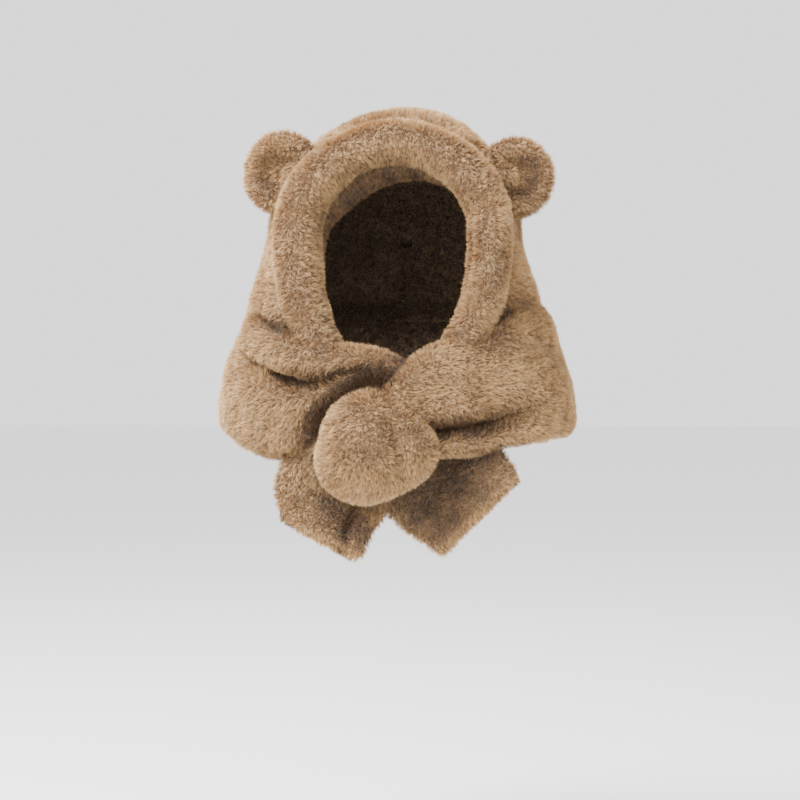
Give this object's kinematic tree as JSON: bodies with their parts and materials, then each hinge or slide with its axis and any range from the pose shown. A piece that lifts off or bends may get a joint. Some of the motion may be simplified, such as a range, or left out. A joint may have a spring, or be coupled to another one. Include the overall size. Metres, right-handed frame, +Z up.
{
  "type": "animal hood scarf",
  "caption": "Plush hood with round ears and a padded face roll, sewn to a wide padded scarf tied in a half knot.",
  "frame": {"origin": "where the top of the head touches the lining of the hood", "axes": "+Z up, -Y the way the face looks, +X to the viewer's right from the front"},
  "size_m": [0.3769, 0.3513, 0.472],
  "materials": {
    "plush_tan": "short dense plush",
    "lining_brown": "dark brown fleece"
  },
  "bodies": {
    "root": {"face_band": "plush_tan", "face_hem": "plush_tan", "hood_shell": "plush_tan", "ear_left": "plush_tan", "ear_right": "plush_tan", "scarf_left": "plush_tan", "scarf_right": "plush_tan", "scarf_knot": "plush_tan", "tail_left": "plush_tan", "tail_right": "plush_tan", "hood_lining": "lining_brown", "neck_lining": "lining_brown"}
  },
  "joints": []
}
